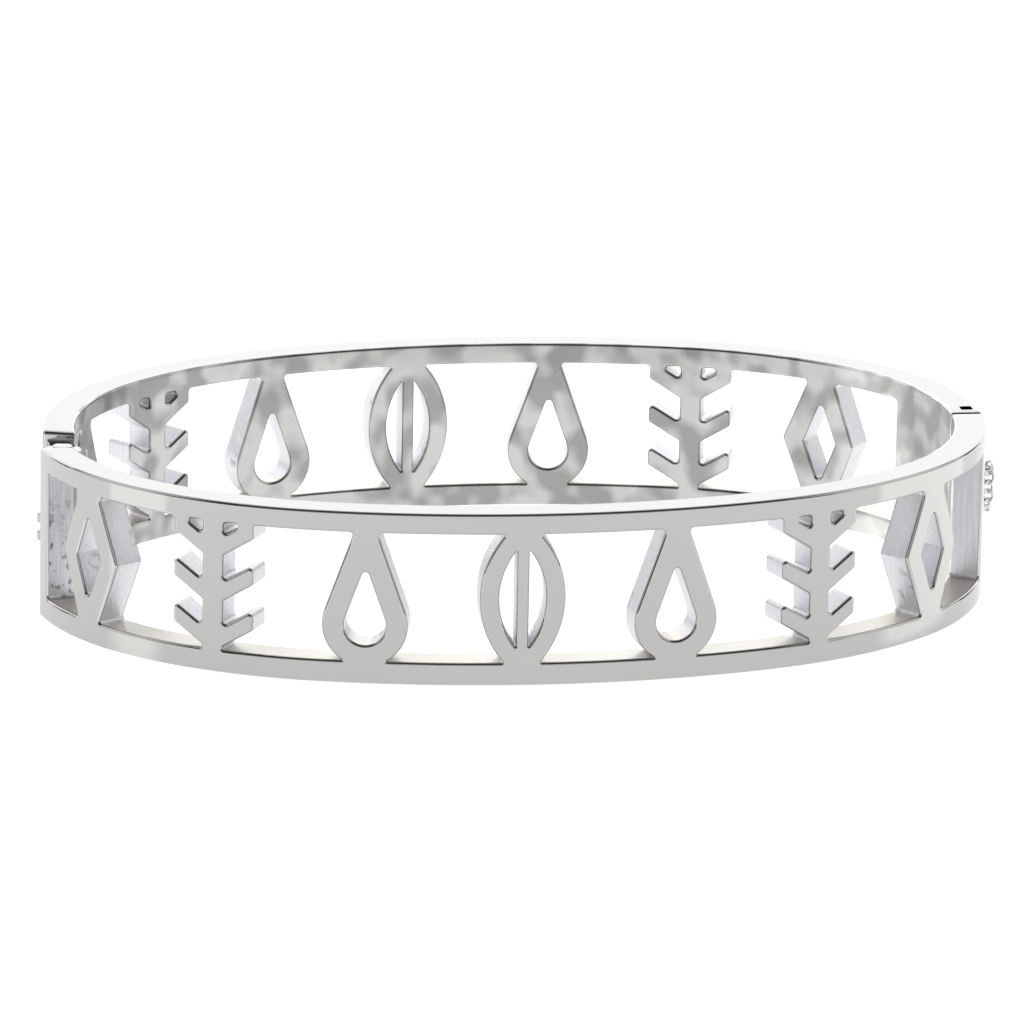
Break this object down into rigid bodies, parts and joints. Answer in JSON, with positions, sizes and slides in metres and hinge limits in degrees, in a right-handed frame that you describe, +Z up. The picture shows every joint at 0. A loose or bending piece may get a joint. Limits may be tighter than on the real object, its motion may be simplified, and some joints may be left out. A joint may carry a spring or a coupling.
{
  "type": "nameplate bracelet",
  "caption": "Oval hinged bangle with pierced openwork between plain rails, a tongue clasp and a short safety chain over its seam.",
  "frame": {"origin": "middle of the oval on the plane that the lower rim rests on", "axes": "+Z up across the band's height, +X along the oval's long axis from the hinge to the clasp, the front half at -Y"},
  "size_m": [0.0674, 0.0452, 0.012],
  "materials": {
    "plated_metal": "mirror-bright plating, with finely grained cut walls",
    "pin_metal": "bright plated pin with a flat head",
    "spring_metal": "plain bright spring metal",
    "chain_metal": "bright plated wire"
  },
  "bodies": {
    "back": {"back_half": "plated_metal", "hinge_pin": "pin_metal", "safety_chain": "chain_metal"},
    "front": {"front_half": "plated_metal", "clasp_tongue": "spring_metal"}
  },
  "joints": [
    {"name": "band_hinge", "type": "hinge", "parent": "back", "child": "front", "pos_m": [-0.0316, -0.002, 0.006], "axis": [0, 0, -1], "range_deg": [0, 75]}
  ]
}
